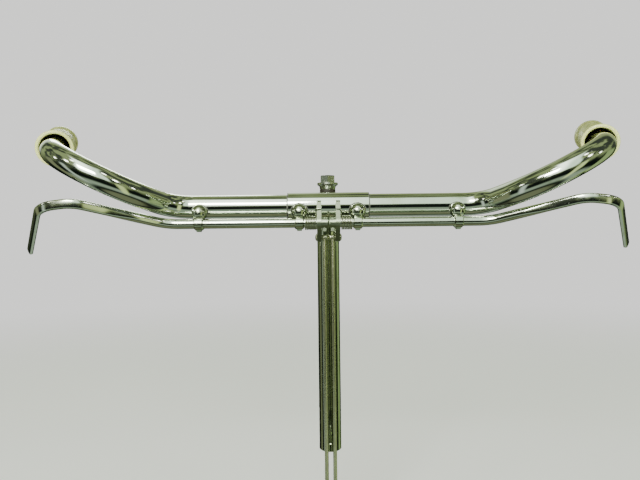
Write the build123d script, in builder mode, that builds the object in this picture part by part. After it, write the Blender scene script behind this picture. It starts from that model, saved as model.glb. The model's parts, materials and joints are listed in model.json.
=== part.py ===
"""Upright roadster handlebar with a quill stem and two rod-brake levers, in millimetres.

The origin is on the quill's axis at its insertion line, where the stem leaves the top of the headset.
+Z runs up along the quill, -Y points to the front of the bicycle, and +X is the rider's left.
"""

from build123d import *
import os

os.makedirs("parts", exist_ok=True)

# Driving dimensions
bar_y = -30.0  # the bar's straight middle runs along X, this far forward of the quill
bar_z = 80.0  # and this far above the insertion line
bar_radius = 11.1
bar_wall = 1.6
bend_points = ((149, 0, 0), (183, -58, 14), (243, -56, 45))  # corners of one side, from the bar's middle
bend_radii = (34, 53, 54)
grip_rear = (300, 100, 82)  # end of the grip's axis

sleeve_radius = 12.7
sleeve_length = 78.0
socket_radius = 12.5
socket_top, socket_bottom = 6.0, -22.0  # measured from the bar's axis
spigot_radius = 10.7  # the quill's brazed end
crown_top = 18.0
crown_radius, crown_height = 8.0, 4.0
neck_width, neck_height, neck_corner = 24.0, 19.0, 6.0
neck_front, neck_middle = 4.0, -2.0  # where the neck starts in the sleeve, and its middle's height

quill_radius = 11.1
quill_bore = 8.6
quill_foot = -237.0  # measured from the bar's axis
slot_width, slot_height = 2.4, 34.0
bolt_radius = 4.0
bolt_clearance = 0.4
bolt_head_flats, bolt_head_height, bolt_head_chamfer = 14.0, 7.4, 0.6
washer_top = 24.8
washer_foot_radius, washer_neck_radius, washer_rim_radius = 7.6, 8.4, 10.5
washer_rim, washer_flare = 2.0, 1.4  # the rim's thickness and the height of the flare below it
cone_height, cone_bevel = 8.0, 1.0
cone_reach, cone_taper = 16.0, 2.4  # how far the cone reaches up the tube, and its loss of radius there

grip_length = 112.0
grip_cap = 5.0
grip_end_radius = 17.5
mouth_radius, mouth_depth = 14.2, 24.0  # the hollow in the grip's front face

rod_y, rod_z = -14.0, -16.6  # lever rod's axis, measured from the bar's axis
rod_radius = 4.75
rod_shank_radius = 4.0
shoulder_gap, shank_set_back = 0.05, 0.6  # the rod's shoulder and end, from the crank's faces
rod_run = 0.05  # radial running fit of the rod in its eyes
eye_places = {"outer": 122.0, "inner": 27.5}
eye_width = 8.5
eye_radius = 6.2
eye_chamfer = 0.9
eye_tip = 7.7  # how far the eye's point reaches below the rod's axis
tip_width, tip_depth, tip_corner, tip_taper = 6.2, 5.4, 1.0, 24.0
tip_root, stud_root = 5.25, 5.35  # where the point and the stud start, from the rod's axis
stud_radius = 2.6
stud_top = -6.5  # measured from the bar's axis
boss_radius = 7.6
boss_y, boss_z = -12.4, -6.0  # the round boss's middle, above the rod
boss_gap = 0.4  # round the rod and the spring
eye_gap = 0.1  # between a boss and its eye

arm_inner, arm_outer = 6.8, 11.0  # the crank arm's faces, from the middle
hub_inner = 0.8
hub_radius = 4.9
plate_hub_radius, plate_foot_radius = 6.8, 4.2
arm_outline = ((3.2, 5.2), (22.0, -10.4), (16.2, -17.2), (-3.6, -5.4))  # forward and up from the rod
finger_outline = (
    (-6.2, 0), (-5.2, 19.2), (-3.6, 20.6), (-1.2, 20.6), (1.05, 18.8), (1.05, 12.6), (0.2, 6.6), (3, 0)
)
clamp_radius, clamp_head, clamp_head_height = 1.5, 3.9, 3.6
clamp_corner, clamp_gap = 0.5, 0.2

pin_y, pin_z = 5.0, -30.5  # where the pull rod turns in the crank arm
pin_radius = 2.1
pull_x = 4.1  # how far each pull rod hangs from the middle
pull_radius = 1.9
pull_length = 300.0
head_radius, head_inner, head_outer, head_fillet = 2.7, 0.4, 6.4, 0.9  # the cross head on the rod's top
rivet_radius, rivet_start, rivet_end = 2.9, 12.0, 13.0  # the pin's spread end
rod_washer_radius, rod_washer_thickness, washer_gap = 3.7, 0.85, 0.1
thread_radius, thread_length = 1.7, 16.0  # the pull rod's threaded foot
sleeve_nut_radius, sleeve_nut_length = 3.8, 28.0
sleeve_nut_chamfer = 0.7
sleeve_nut_bore, sleeve_nut_depth = 2.1, 12.0  # takes the brake's own rod from below

lever_first_bend = (152, -14, -16.6)
lever_second_bend = (225, -55, 1.8)
lever_corner = (254.5, -54, -1.5)
lever_tip = (304.5, 33, -40.5)
lever_radii = (40, 30, 24)
flat_from, flat_to = 24, 58  # where the rod flattens, from its first bend
blade_half_height, blade_half_thickness = 4.4, 2.2

spring_inner, spring_outer = 11.4, 22.4
spring_bore, spring_radius = 5.3, 7.1

sides = {"right": -1, "left": 1}


def at(x, y, z, side=1):
    """A point given from the middle of the bar's straight run."""
    return Vector(side * x, bar_y + y, bar_z + z)


def save(part, name):
    """Label a finished piece and write it to its own file."""
    part.label = name
    export_step(part, f"parts/{name}.step")


def between(start, end, distance):
    """The point this far along the straight line from start to end."""
    return start + (end - start).normalized() * distance


def grip_plane(side):
    """Plane at the grip's front face, facing back along the grip."""
    rear = at(*grip_rear, side)
    axis = (rear - at(*bend_points[-1], side)).normalized()
    return Plane(origin=rear - axis * grip_length, x_dir=(0, 0, 1), z_dir=axis)


# Bar: one tube, bent three times on each side
with BuildPart() as bar_tube:
    right_points = [at(*point, -1) for point in (grip_rear, *reversed(bend_points))]
    left_points = [at(*point, 1) for point in (*bend_points, grip_rear)]
    right_points[0] = between(right_points[0], right_points[1], grip_cap)
    left_points[-1] = between(left_points[-1], left_points[-2], grip_cap)
    with BuildLine() as bar_line:
        FilletPolyline(*right_points, *left_points, radius=[*reversed(bend_radii), *bend_radii])
    with BuildSketch(Plane(origin=bar_line.line @ 0, z_dir=bar_line.line % 0)):
        Circle(bar_radius)
        Circle(bar_radius - bar_wall, mode=Mode.SUBTRACT)
    sweep()
save(bar_tube.part, "bar_tube")

# Stem lug: the sleeve brazed round the bar, the neck behind it, the quill's socket and the crown
sleeve_plane = Plane(origin=at(-sleeve_length / 2, 0, 0), z_dir=(1, 0, 0))
with BuildPart() as stem_lug:
    with BuildSketch(sleeve_plane):
        Circle(sleeve_radius)
    extrude(amount=sleeve_length)
    with BuildSketch(Plane.XY.offset(bar_z + socket_bottom)):
        Circle(socket_radius)
    extrude(amount=socket_top - socket_bottom)
    with BuildSketch(Plane.XY.offset(bar_z + socket_top)) as crown_base:
        Circle(socket_radius)
    with BuildSketch(Plane.XY.offset(bar_z + crown_top - crown_height)) as crown_neck:
        Circle(crown_radius)
    loft()
    with BuildSketch(Plane.XY.offset(bar_z + crown_top - crown_height)):
        Circle(crown_radius)
    extrude(amount=crown_height)
    with BuildSketch(Plane(origin=at(0, neck_front, neck_middle), x_dir=(1, 0, 0), z_dir=(0, 1, 0))):
        RectangleRounded(neck_width, neck_height, neck_corner)
    extrude(amount=-bar_y - neck_front)
    with BuildSketch(sleeve_plane):
        Circle(bar_radius)
    extrude(amount=sleeve_length, mode=Mode.SUBTRACT)
    with BuildSketch(Plane.XY.offset(bar_z + socket_bottom)):
        Circle(spigot_radius)
    extrude(amount=socket_top - socket_bottom, mode=Mode.SUBTRACT)
    with BuildSketch(Plane.XY.offset(bar_z + socket_top)):
        Circle(bolt_radius + bolt_clearance)
    extrude(amount=crown_top, mode=Mode.SUBTRACT)
save(stem_lug.part, "stem_lug")

# Quill: a tube slotted twice across at its foot, so that the cone can spread it
with BuildPart() as quill_tube:
    with BuildSketch(Plane.XY.offset(bar_z + quill_foot)):
        Circle(quill_radius)
    extrude(amount=socket_bottom - quill_foot)
    with BuildSketch(Plane.XY.offset(bar_z + socket_bottom)):
        Circle(spigot_radius)
    extrude(amount=socket_top - socket_bottom)
    with BuildSketch(Plane.XY.offset(bar_z + quill_foot)):
        Circle(quill_bore)
    extrude(amount=socket_top - quill_foot, mode=Mode.SUBTRACT)
    with BuildSketch(Plane.XY.offset(bar_z + quill_foot)):
        Rectangle(slot_width, 3 * quill_radius)
        Rectangle(3 * quill_radius, slot_width)
    extrude(amount=slot_height, mode=Mode.SUBTRACT)
save(quill_tube.part, "quill_tube")

# Expander: the bolt, the flanged washer that it bears on, and the cone that it draws up
with BuildPart() as bolt_washer:
    with BuildSketch(Plane.XZ):
        with BuildLine():
            Polyline(
                (bolt_radius + bolt_clearance, bar_z + crown_top),
                (washer_foot_radius, bar_z + crown_top),
                (washer_neck_radius, bar_z + washer_top - washer_rim - washer_flare),
                (washer_rim_radius, bar_z + washer_top - washer_rim),
                (washer_rim_radius, bar_z + washer_top),
                (bolt_radius + bolt_clearance, bar_z + washer_top),
                close=True,
            )
        make_face()
    revolve(axis=Axis.Z)
save(bolt_washer.part, "bolt_washer")

with BuildPart() as expander_bolt:
    with BuildSketch(Plane.XY.offset(bar_z + washer_top)):
        RegularPolygon(bolt_head_flats / 2, 6, major_radius=False, rotation=90)
    extrude(amount=bolt_head_height)
    chamfer(expander_bolt.faces().sort_by(Axis.Z)[-1].edges(), bolt_head_chamfer)
    with BuildSketch(Plane.XY.offset(bar_z + washer_top)):
        Circle(bolt_radius)
    extrude(amount=quill_foot - cone_height + cone_bevel - washer_top)
save(expander_bolt.part, "expander_bolt")

with BuildPart() as expander_cone:
    with BuildSketch(Plane.XZ):
        with BuildLine():
            Polyline(
                (bolt_radius, bar_z + quill_foot - cone_height),
                (quill_radius - cone_bevel, bar_z + quill_foot - cone_height),
                (quill_radius, bar_z + quill_foot - cone_height + cone_bevel),
                (quill_radius, bar_z + quill_foot),
                (quill_bore, bar_z + quill_foot),
                (quill_bore - cone_taper, bar_z + quill_foot + cone_reach),
                (bolt_radius, bar_z + quill_foot + cone_reach),
                close=True,
            )
        make_face()
    revolve(axis=Axis.Z)
save(expander_cone.part, "expander_cone")

# Grips: a rolled rim at the front, a barrel body and a bulb that closes the rear
for name, side in sides.items():
    plane = grip_plane(side)
    profile = Plane(origin=plane.origin, x_dir=plane.x_dir, z_dir=plane.y_dir * -1)
    with BuildPart() as grip:
        with BuildSketch(profile):
            with BuildLine():
                rim = ThreePointArc((mouth_radius, 0.4), (grip_end_radius, 3.2), (15.0, 6.6))
                body = Spline(rim @ 1, (14.4, 14), (16.2, 54), (15.2, 92), tangents=((-0.4, 1), (0, 1)))
                swell = Spline(
                    body @ 1, (grip_end_radius, 103), (13.5, grip_length), tangents=((0, 1), (-1, 0.1))
                )
                Line(swell @ 1, (0, grip_length))
                Line((0, grip_length), (0, grip_length - grip_cap))
                Line((0, grip_length - grip_cap), (bar_radius, grip_length - grip_cap))
                Line((bar_radius, grip_length - grip_cap), (bar_radius, mouth_depth))
                Line((bar_radius, mouth_depth), rim @ 0)
            make_face()
        revolve(axis=Axis(plane.origin, plane.z_dir))
    save(grip.part, f"{name}_grip")

# Round bosses brazed on the bar and the sleeve, and the eye bolts that hang from them round the lever rods
for name, side in sides.items():
    for where, place in eye_places.items():
        seat_radius = sleeve_radius if where == "inner" else bar_radius
        across_all = Plane(origin=at(0, 0, 0), z_dir=(1, 0, 0))
        rod_plane = Plane(origin=at(0, rod_y, rod_z, side), z_dir=(side, 0, 0))
        with BuildPart() as boss:
            with BuildSketch(Plane(origin=at(place, boss_y, boss_z, side), x_dir=(0, 1, 0), z_dir=(1, 0, 0))):
                Circle(boss_radius)
                Rectangle(2 * boss_radius, boss_radius, align=(Align.CENTER, Align.MAX), mode=Mode.SUBTRACT)
            revolve(axis=Axis(at(place, boss_y, boss_z, side), (0, 1, 0)))
            with BuildSketch(across_all):
                Circle(seat_radius)
            extrude(amount=200, both=True, mode=Mode.SUBTRACT)
            with BuildSketch(rod_plane):
                Circle(rod_radius + boss_gap)
            extrude(amount=200, mode=Mode.SUBTRACT)
            with BuildSketch(rod_plane.offset(place - eye_width / 2 - eye_gap)):
                Circle(eye_radius + eye_gap)
            extrude(amount=eye_width + 2 * eye_gap, mode=Mode.SUBTRACT)
            with BuildSketch(rod_plane.offset(spring_inner)):
                Circle(spring_radius + boss_gap)
            extrude(amount=spring_outer - spring_inner + boss_gap, mode=Mode.SUBTRACT)
            with BuildSketch(Plane.XY.offset(bar_z + rod_z)):
                with Locations((side * place, bar_y + rod_y)):
                    Circle(stud_radius)
            extrude(amount=stud_top - rod_z, mode=Mode.SUBTRACT)
        save(boss.part, f"{name}_{where}_boss")

        with BuildPart() as eye:
            with BuildSketch(rod_plane.offset(place - eye_width / 2)):
                Circle(eye_radius)
            extrude(amount=eye_width)
            chamfer(eye.edges(), eye_chamfer)
            with BuildSketch(Plane(origin=at(place, rod_y, rod_z - tip_root, side), z_dir=(0, 0, -1))):
                RectangleRounded(tip_width, tip_depth, tip_corner)
            extrude(amount=eye_tip - tip_root, taper=tip_taper)
            with BuildSketch(rod_plane):
                Circle(rod_radius + rod_run)
            extrude(amount=200, mode=Mode.SUBTRACT)
            with BuildSketch(Plane(origin=at(place, rod_y, rod_z + stud_root, side))):
                Circle(stud_radius)
            extrude(amount=stud_top - rod_z - stud_root)
        save(eye.part, f"{name}_{where}_eye")

# Levers: a round rod that turns in the eyes, flattens past its first bend and sweeps back as a blade
for name, side in sides.items():
    bend_1, bend_2 = at(*lever_first_bend, side), at(*lever_second_bend, side)
    corner, tip = at(*lever_corner, side), at(*lever_tip, side)
    flat_start, flat_end = between(bend_1, bend_2, flat_from), between(bend_1, bend_2, flat_to)
    shoulder = at(arm_outer + shoulder_gap, rod_y, rod_z, side)
    shank_end = at(hub_inner + shank_set_back, rod_y, rod_z, side)
    run = (bend_2 - bend_1).normalized()
    across = Vector(0, 0, 1).cross(run).normalized()
    with BuildPart() as lever:
        with BuildLine() as rod_line:
            FilletPolyline(shoulder, bend_1, flat_start, radius=lever_radii[:1])
        with BuildSketch(Plane(origin=shoulder, z_dir=(side, 0, 0))):
            Circle(rod_radius)
        sweep(path=rod_line.line)
        with BuildSketch(Plane(origin=shank_end, z_dir=(side, 0, 0))):
            Circle(rod_shank_radius)
        extrude(amount=arm_outer - hub_inner)
        with BuildSketch(Plane(origin=flat_start, x_dir=across, z_dir=run)):
            Circle(rod_radius)
        with BuildSketch(Plane(origin=flat_end, x_dir=across, z_dir=run)):
            Ellipse(blade_half_thickness, blade_half_height)
        loft()
        with BuildLine() as blade_line:
            FilletPolyline(flat_end, bend_2, corner, tip, radius=lever_radii[1:])
        with BuildSketch(Plane(origin=flat_end, x_dir=across, z_dir=run)):
            Ellipse(blade_half_thickness, blade_half_height)
        sweep(path=blade_line.line)
    save(lever.part, f"{name}_lever")

# Crank arms: hub on the rod's end, arm down and back to the pull rod, finger up to the rest stop
for name, side in sides.items():
    hub_plane = Plane(origin=at(hub_inner, rod_y, rod_z, side), x_dir=(0, 1, 0), z_dir=(side, 0, 0))
    # the plane's second axis points up on the left and down on the right
    arm_reach = (pin_y - rod_y, side * (pin_z - rod_z))
    clamp_x = (hub_inner + arm_inner) / 2
    clamp_plane = Plane(origin=at(clamp_x, rod_y, rod_z, side), z_dir=(0, 0, -1))
    with BuildPart() as crank:
        with BuildSketch(hub_plane):
            Circle(hub_radius)
        extrude(amount=arm_outer - hub_inner)
        with BuildSketch(hub_plane.offset(arm_inner - hub_inner)):
            Circle(plate_hub_radius)
            with Locations(arm_reach):
                Circle(plate_foot_radius)
            for outline in (arm_outline, finger_outline):
                with BuildLine():
                    Polyline(*[(forward, side * up) for forward, up in outline], close=True)
                make_face()
        extrude(amount=arm_outer - arm_inner)
        with BuildSketch(hub_plane):
            Circle(rod_shank_radius)
            with Locations(arm_reach):
                Circle(pin_radius + rod_run)
        extrude(amount=arm_outer, mode=Mode.SUBTRACT)
        with BuildSketch(clamp_plane):
            Circle(clamp_radius)
        extrude(amount=plate_hub_radius, mode=Mode.SUBTRACT)
    save(crank.part, f"{name}_crank_arm")

    with BuildPart() as screw:
        with BuildSketch(clamp_plane.offset(rod_shank_radius)):
            Circle(clamp_radius)
        extrude(amount=hub_radius - rod_shank_radius + clamp_gap)
        with BuildSketch(clamp_plane.offset(hub_radius + clamp_gap)):
            RectangleRounded(clamp_head, clamp_head, clamp_corner)
        extrude(amount=clamp_head_height)
        chamfer(screw.faces().sort_by(Axis.Z)[0].edges(), clamp_corner)
    save(screw.part, f"{name}_clamp_screw")

# Return springs: close coils round the rods, between the inner eyes and the crank arms
for name, side in sides.items():
    with BuildPart() as spring:
        with BuildSketch(Plane(origin=at(spring_inner, rod_y, rod_z, side), z_dir=(side, 0, 0))):
            Circle(spring_radius)
            Circle(spring_bore, mode=Mode.SUBTRACT)
        extrude(amount=spring_outer - spring_inner)
    save(spring.part, f"{name}_return_spring")

# Pull rods: a cross head whose pin turns in the crank arm, the long rod, and a sleeve nut on its foot
for name, side in sides.items():
    pin_plane = Plane(origin=at(0, pin_y, pin_z, side), x_dir=(0, 0, 1), z_dir=(side, 0, 0))
    top = at(pull_x, pin_y, pin_z, side)
    with BuildPart() as pull_rod:
        with BuildSketch(pin_plane.offset(head_inner)):
            Circle(head_radius)
        extrude(amount=head_outer - head_inner)
        fillet(pull_rod.edges().filter_by(GeomType.CIRCLE), head_fillet)
        with BuildSketch(pin_plane.offset(head_outer)):
            Circle(pin_radius)
        extrude(amount=rivet_start - head_outer)
        with BuildSketch(pin_plane.offset(rivet_start)):
            Circle(rivet_radius)
        extrude(amount=rivet_end - rivet_start, taper=30)
        with BuildSketch(Plane(origin=top, z_dir=(0, 0, -1))):
            Circle(pull_radius)
        extrude(amount=pull_length - thread_length)
        with BuildSketch(Plane(origin=top - Vector(0, 0, pull_length), z_dir=(0, 0, 1))):
            Circle(thread_radius)
        extrude(amount=thread_length)
    save(pull_rod.part, f"{name}_pull_rod")

    with BuildPart() as washer:
        with BuildSketch(pin_plane.offset(arm_outer + washer_gap)):
            Circle(rod_washer_radius)
            Circle(pin_radius, mode=Mode.SUBTRACT)
        extrude(amount=rod_washer_thickness)
    save(washer.part, f"{name}_rod_washer")

    nut_plane = Plane(origin=top - Vector(0, 0, pull_length - thread_length + 1), z_dir=(0, 0, -1))
    with BuildPart() as sleeve_nut:
        with BuildSketch(nut_plane):
            Circle(sleeve_nut_radius)
        extrude(amount=sleeve_nut_length)
        chamfer(sleeve_nut.edges().filter_by(GeomType.CIRCLE), sleeve_nut_chamfer)
        with BuildSketch(nut_plane):
            Circle(thread_radius)
        extrude(amount=sleeve_nut_length, mode=Mode.SUBTRACT)
        with BuildSketch(nut_plane.offset(sleeve_nut_length - sleeve_nut_depth)):
            Circle(sleeve_nut_bore)
        extrude(amount=sleeve_nut_depth, mode=Mode.SUBTRACT)
    save(sleeve_nut.part, f"{name}_sleeve_nut")
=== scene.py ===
"""Looks of an upright roadster handlebar with a quill stem and two rod-brake levers.

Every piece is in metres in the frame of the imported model: +Z up along the quill, -Y to the front
of the bicycle and +X to the rider's left.
"""

import json
import logging
import math
from collections.abc import Callable, Sequence
from dataclasses import dataclass, field
from enum import Enum

import bmesh
import bpy
from mathutils import Matrix, Vector

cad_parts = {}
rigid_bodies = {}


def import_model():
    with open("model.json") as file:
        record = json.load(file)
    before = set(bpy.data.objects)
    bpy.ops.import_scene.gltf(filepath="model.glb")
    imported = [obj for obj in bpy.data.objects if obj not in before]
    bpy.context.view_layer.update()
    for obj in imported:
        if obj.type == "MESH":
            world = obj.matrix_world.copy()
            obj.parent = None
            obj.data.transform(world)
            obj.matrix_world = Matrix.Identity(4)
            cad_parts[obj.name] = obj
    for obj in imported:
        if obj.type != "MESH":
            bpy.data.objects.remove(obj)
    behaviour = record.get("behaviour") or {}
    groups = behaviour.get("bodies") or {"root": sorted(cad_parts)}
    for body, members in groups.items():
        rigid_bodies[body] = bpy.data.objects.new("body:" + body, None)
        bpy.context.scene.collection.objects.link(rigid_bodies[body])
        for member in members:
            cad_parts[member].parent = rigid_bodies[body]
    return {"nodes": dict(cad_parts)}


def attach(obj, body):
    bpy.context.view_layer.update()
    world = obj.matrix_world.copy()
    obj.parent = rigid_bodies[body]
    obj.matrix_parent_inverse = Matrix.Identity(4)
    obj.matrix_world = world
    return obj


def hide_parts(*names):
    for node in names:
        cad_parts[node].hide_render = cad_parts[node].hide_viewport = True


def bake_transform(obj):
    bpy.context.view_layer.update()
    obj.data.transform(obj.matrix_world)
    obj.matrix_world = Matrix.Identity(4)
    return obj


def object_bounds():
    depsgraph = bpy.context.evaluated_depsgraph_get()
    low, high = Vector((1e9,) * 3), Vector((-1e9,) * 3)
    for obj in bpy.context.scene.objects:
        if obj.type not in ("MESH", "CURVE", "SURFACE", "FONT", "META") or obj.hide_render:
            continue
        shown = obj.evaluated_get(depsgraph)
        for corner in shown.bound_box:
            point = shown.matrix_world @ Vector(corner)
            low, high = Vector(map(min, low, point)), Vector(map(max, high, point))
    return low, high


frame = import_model()
cad_low, cad_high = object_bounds()

log = logging.getLogger("handlebar")

MM = 0.001
FIXED_BODY = "handlebar"
BAR_Y, BAR_Z = -30.0, 80.0

Mesh = bpy.types.Mesh
Socket = bpy.types.NodeSocket
Pair = tuple[float, float]
Point = tuple[float, float, float]


class Side(Enum):
    """The rider's sides, with the sign of X on each."""

    RIGHT = -1
    LEFT = 1

    @property
    def word(self) -> str:
        """The side's name as the nodes spell it."""
        return self.name.lower()

    def at(self, x: float, y: float, z: float) -> Vector:
        """A point in metres, from millimetres measured from the middle of the bar's straight run."""
        return Vector((self.value * x, BAR_Y + y, BAR_Z + z)) * MM


# --- node graphs


class Graph:
    """A node tree that is built by short calls."""

    def __init__(self, tree: bpy.types.NodeTree) -> None:
        """Take an empty or a fresh tree.

        Args:
            tree: The tree that receives the nodes.
        """
        self.tree = tree

    def node(self, kind: str, inputs: dict | None = None, **settings: object) -> bpy.types.Node:
        """Add a node.

        Args:
            kind: The node's type name.
            inputs: Socket name or number to a value or to an output socket.
            **settings: Properties of the node itself.

        Returns:
            The new node.
        """
        made = self.tree.nodes.new(kind)
        for key, value in settings.items():
            setattr(made, key, value)
        for key, value in (inputs or {}).items():
            if isinstance(value, Socket):
                self.tree.links.new(value, made.inputs[key])
            else:
                made.inputs[key].default_value = value
        return made

    def one(self, kind: str, inputs: dict | None = None, **settings: object) -> Socket:
        """Add a node and return its first output."""
        return self.node(kind, inputs, **settings).outputs[0]

    def math(self, operation: str, *values: object, clamp: bool = False) -> Socket:
        """Add a math node.

        Args:
            operation: What the node does.
            *values: Numbers or output sockets.
            clamp: Whether the result is kept within 0 to 1.

        Returns:
            The result's socket.
        """
        return self.one("ShaderNodeMath", dict(enumerate(values)), operation=operation, use_clamp=clamp)

    def times(self, first: object, second: object) -> Socket:
        """Multiply two numbers or sockets."""
        return self.math("MULTIPLY", first, second)

    def plus(self, first: object, second: object, clamp: bool = False) -> Socket:
        """Add two numbers or sockets."""
        return self.math("ADD", first, second, clamp=clamp)

    def ramp(self, value: object, low: float, high: float, start: float = 0.0,
             end: float = 1.0) -> Socket:
        """Map a value from low..high to start..end, eased and clamped.

        Args:
            value: The number or socket that is mapped.
            low, high: The values that give start and end; high may be below low.
            start, end: The results at low and high.

        Returns:
            The result's socket.
        """
        return self.one("ShaderNodeMapRange", {0: value, 1: low, 2: high, 3: start, 4: end},
                        interpolation_type="SMOOTHSTEP", clamp=True)

    def mix(self, share: object, first: object, second: object) -> Socket:
        """Mix two colours and return the result."""
        made = self.node("ShaderNodeMix", {0: share, 6: first, 7: second}, data_type="RGBA")
        return made.outputs[2]

    def noise(self, place: object, scale: float, detail: float = 3.0,
              rough: float = 0.55) -> Socket:
        """Add a noise texture.

        Args:
            place: The coordinates that it is read at.
            scale: Patches per unit of the coordinates.
            detail: How many finer layers are added.
            rough: How strong the finer layers are.

        Returns:
            The socket of its value.
        """
        inputs = {"Vector": place, "Scale": scale, "Detail": detail, "Roughness": rough}
        return self.node("ShaderNodeTexNoise", inputs).outputs["Fac"]

    def stretched(self, place: object, turn: Point, scale: Point) -> Socket:
        """Turn and stretch coordinates, as for scratches, and return them."""
        return self.one("ShaderNodeMapping", {"Vector": place, "Rotation": turn, "Scale": scale})


def rgba(colour: Sequence[float]) -> tuple[float, float, float, float]:
    """A colour with full alpha."""
    return (*colour, 1.0)


# --- finishes


@dataclass(frozen=True)
class Wear:
    """Marks on metal, counted per metre, and the painted shade in its seams and round its nests, in metres.

    The painted shade's edge wavers by its waviness, and thins and ends between a pair of distances. Dirty
    pits and the painted shade share one dark colour.
    """

    smudges: float = 38.0
    clouds: float = 170.0
    grains: float = 1400.0
    cells: float = 700.0
    patches: float = 60.0
    scratch: Pair = (30.0, 1500.0)
    breaks: float = 90.0
    ragged: float = 420.0
    waviness: float = 6e-4
    seam_edge: Pair = (6e-4, 1.1e-3)
    nest_edge: Pair = (7e-4, 1.4e-3)
    # The dark colour of dirty pits, and of the painted shade in seams and round nests.
    dirt: Point = (0.022, 0.018, 0.010)


WEAR_AND_SHADE = Wear()


@dataclass(frozen=True)
class Finish:
    """A material that a record's slot names, in object coordinates.

    Attributes:
        slot: The record's material slot.
    """

    slot: str

    def material(self) -> bpy.types.Material:
        """Build the material, once.

        Returns:
            The slot's material.
        """
        made = bpy.data.materials.get(f"{self.slot}_finish")
        if made is None:
            made = bpy.data.materials.new(f"{self.slot}_finish")
            made.use_nodes = True
            graph = Graph(made.node_tree)
            place = graph.node("ShaderNodeTexCoord").outputs["Object"]
            self._shade(graph, made.node_tree.nodes["Principled BSDF"].inputs, place)
        return made


@dataclass(frozen=True)
class Metal(Finish):
    """A plated or bare metal finish with smudges, scratches, pits, and painted shade in a seam and round
    nests.

    Attributes:
        bright, dull: Colours where the metal is clean and under tarnish.
        polish, haze, scratches: Roughness of clean metal, and what smudges and scratches add to it.
        pits: Share of the surface that pitting reaches, 0 to 1.
        grain: Depth of the fine surface grain, in metres.
        seam: Distance from the middle plane of a seam that gets a thin ring of painted shade, in metres, or
            0.
        nests: Middles and radii of balls round which painted shade darkens the metal, on both sides.
    """

    bright: Point
    dull: Point
    polish: float
    haze: float
    scratches: float
    pits: float
    grain: float = 2e-6
    seam: float = 0.0
    nests: tuple[tuple[Point, float], ...] = ()

    def _shade(self, graph: Graph, shader: object, place: object) -> None:
        """Lay tarnish, scratches, dirty pits and painted shade on the metal.

        Args:
            graph, shader, place: The nodes, the shader's inputs and the object coordinates.
        """
        times, plus, link = graph.times, graph.plus, graph.tree.links.new
        smudge = graph.ramp(graph.noise(place, WEAR_AND_SHADE.smudges, 5, 0.6), 0.42, 0.72)
        cloud = graph.ramp(graph.noise(place, WEAR_AND_SHADE.clouds, 4), 0.35, 0.8)
        tarnish = times(smudge, plus(times(cloud, 0.6), 0.4))
        lines = self._scratches(graph, place)
        # Pits are dirty; the seam and the nests are painted shade in the same dark colour, rougher and less
        # metallic.
        spots = graph.math("MAXIMUM", self._pits(graph, place), self._grime(graph, place))
        colour = graph.mix(tarnish, rgba(self.bright), rgba(self.dull))
        link(graph.mix(spots, colour, rgba(WEAR_AND_SHADE.dirt)), shader["Base Color"])
        rough = plus(times(tarnish, self.haze), self.polish)
        rough = plus(rough, times(lines, self.scratches))
        link(plus(rough, times(spots, 0.5), clamp=True), shader["Roughness"])
        link(graph.math("SUBTRACT", 1.0, spots, clamp=True), shader["Metallic"])
        grain = times(graph.noise(place, WEAR_AND_SHADE.grains, 2), 0.25)
        height = graph.math("SUBTRACT", grain, plus(times(lines, 0.5), spots))
        bump = graph.one("ShaderNodeBump", {"Height": height, "Distance": self.grain, "Strength": 1.0})
        link(bump, shader["Normal"])

    @staticmethod
    def _scratches(graph: Graph, place: object) -> Socket:
        """Draw thin lines in two directions, broken up by a cloud.

        Args:
            graph, place: The material's nodes and the object coordinates.

        Returns:
            A socket that is 1 on a scratch.
        """
        total: object = 0.0
        for turn, finer in (((0.2, 0.5, 0.3), 1.0), ((1.1, -0.4, 0.9), 1.35)):
            along, across = (count * finer for count in WEAR_AND_SHADE.scratch)
            thin = graph.stretched(place, turn, (along, across, across))
            line = graph.ramp(graph.noise(thin, 1.0, 1), 0.66, 0.72)
            total = graph.math("MAXIMUM", total, line)
        broken = graph.ramp(graph.noise(place, WEAR_AND_SHADE.breaks, 2), 0.45, 0.65)
        return graph.times(total, broken)

    def _grime(self, graph: Graph, place: object) -> object:
        """Paint shade in the seam and round the nests.

        Args:
            graph, place: The material's nodes and the object coordinates.

        Returns:
            A socket that is 1 in the painted shade, or 0 where the finish has neither seam nor nests.
        """
        x, y, z = graph.node("ShaderNodeSeparateXYZ", {0: place}).outputs
        away = graph.math("ABSOLUTE", x)
        total: object = 0.0
        ragged = graph.times(graph.noise(place, WEAR_AND_SHADE.ragged, 3), WEAR_AND_SHADE.waviness)
        # Painted shade: a thin dark ring round the seam.
        if self.seam:
            gap = graph.math("ABSOLUTE", graph.math("SUBTRACT", away, self.seam))
            total = graph.ramp(graph.plus(gap, ragged), *WEAR_AND_SHADE.seam_edge, 1.0, 0.0)
        folded = graph.one("ShaderNodeCombineXYZ", {0: away, 1: y, 2: z})
        # Painted shade: a dark halo round each nest, where the bosses meet the bar and under the bolt's
        # washer.
        for middle, radius in self.nests:
            apart = graph.node("ShaderNodeVectorMath", {0: folded, 1: middle}, operation="DISTANCE")
            span = graph.plus(apart.outputs["Value"], ragged)
            inner, outer = WEAR_AND_SHADE.nest_edge
            edge = graph.ramp(span, radius + inner, radius + outer, 1.0, 0.0)
            total = graph.math("MAXIMUM", total, edge)
        return total

    def _pits(self, graph: Graph, place: object) -> Socket:
        """Scatter small round pits, in patches.

        Args:
            graph, place: The material's nodes and the object coordinates.

        Returns:
            A socket that is 1 in a pit.
        """
        cells = graph.node("ShaderNodeTexVoronoi", {"Vector": place, "Scale": WEAR_AND_SHADE.cells})
        dots = graph.ramp(cells.outputs["Distance"], 0.12, 0.26, 1.0, 0.0)
        spread = 0.3 * self.pits
        patch = graph.ramp(graph.noise(place, WEAR_AND_SHADE.patches, 4, 0.65), 0.74 - spread, 0.82 - spread)
        return graph.times(dots, patch)


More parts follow.
